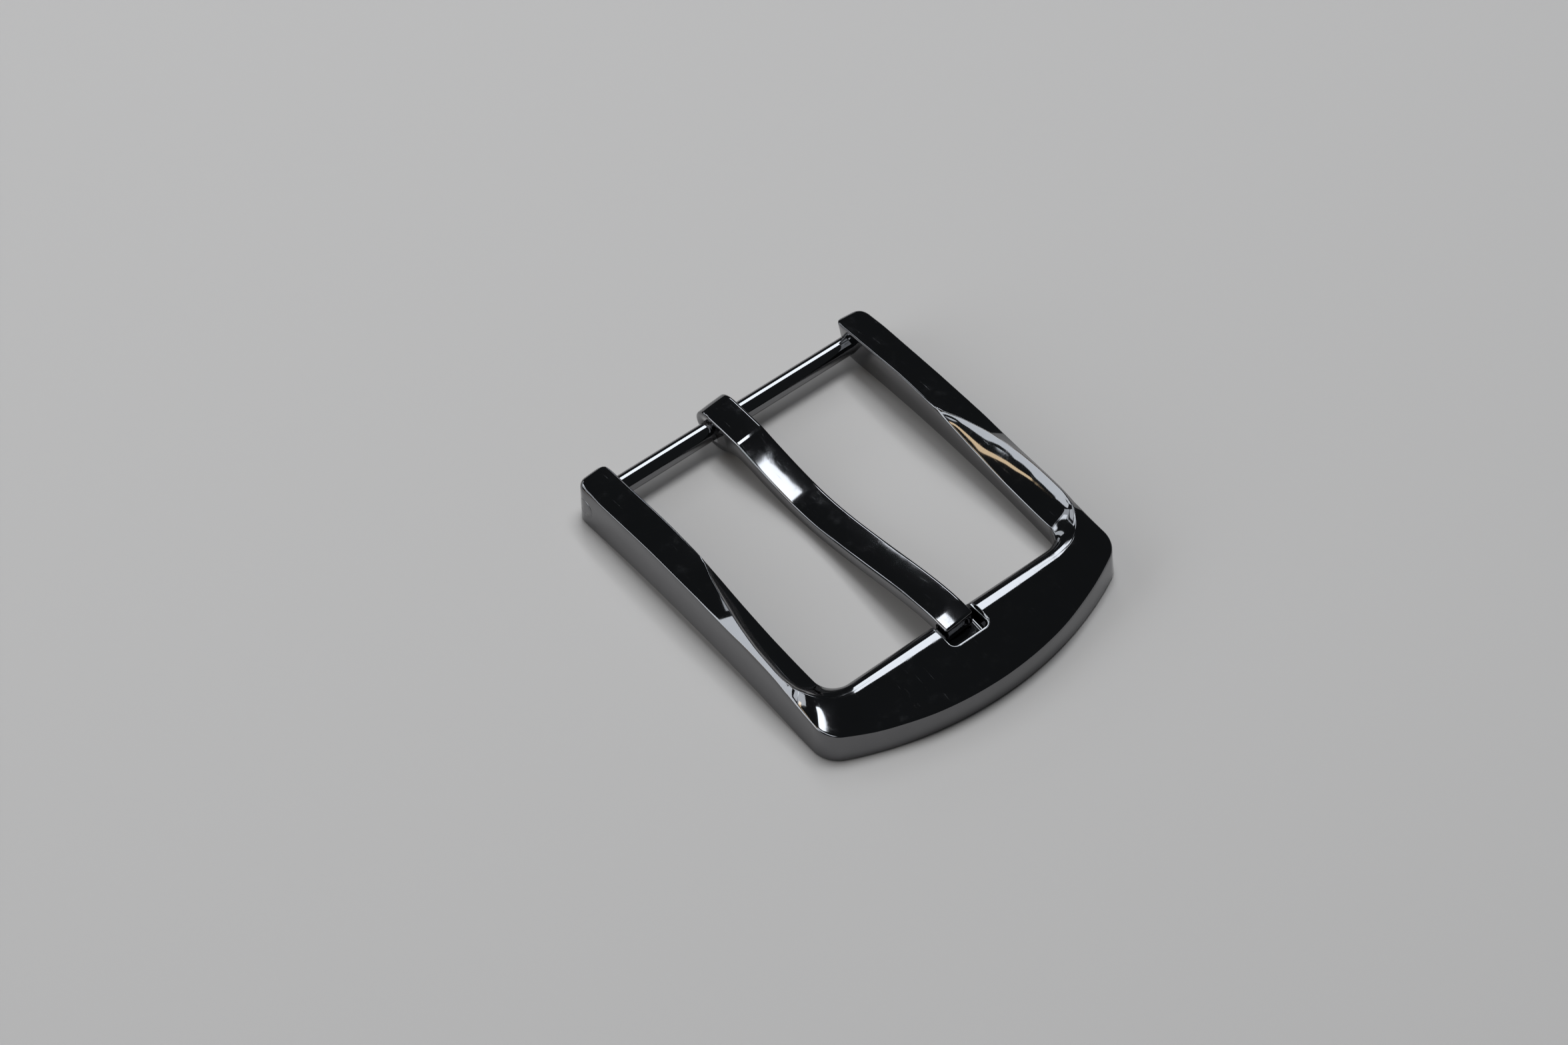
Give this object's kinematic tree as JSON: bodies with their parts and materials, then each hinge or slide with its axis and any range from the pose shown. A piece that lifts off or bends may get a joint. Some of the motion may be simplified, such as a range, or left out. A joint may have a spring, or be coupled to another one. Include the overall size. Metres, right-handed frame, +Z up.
{
  "type": "belt buckle",
  "caption": "Polished metal prong buckle: U-shaped frame with a broad domed front bar, sculpted side arms, a round heel bar and a swinging S-curved prong.",
  "frame": {"origin": "centre of the bounding box, on the surface the buckle lies on", "axes": "+X along the heel bar, +Y from the front bar towards the heel bar, +Z up through the show face"},
  "size_m": [0.05, 0.0606, 0.0082],
  "materials": {
    "frame_plating": "polished black nickel",
    "bar_steel": "polished nickel on steel",
    "prong_plating": "polished black nickel"
  },
  "bodies": {
    "buckle": {"frame": "frame_plating", "heel_bar": "bar_steel"},
    "tongue": {"prong": "prong_plating"}
  },
  "joints": [
    {"name": "prong_swing", "type": "hinge", "parent": "buckle", "child": "tongue", "pos_m": [-0.00135, 0.02697, 0.00335], "axis": [-1, 0, 0], "range_deg": [0, 178]}
  ]
}
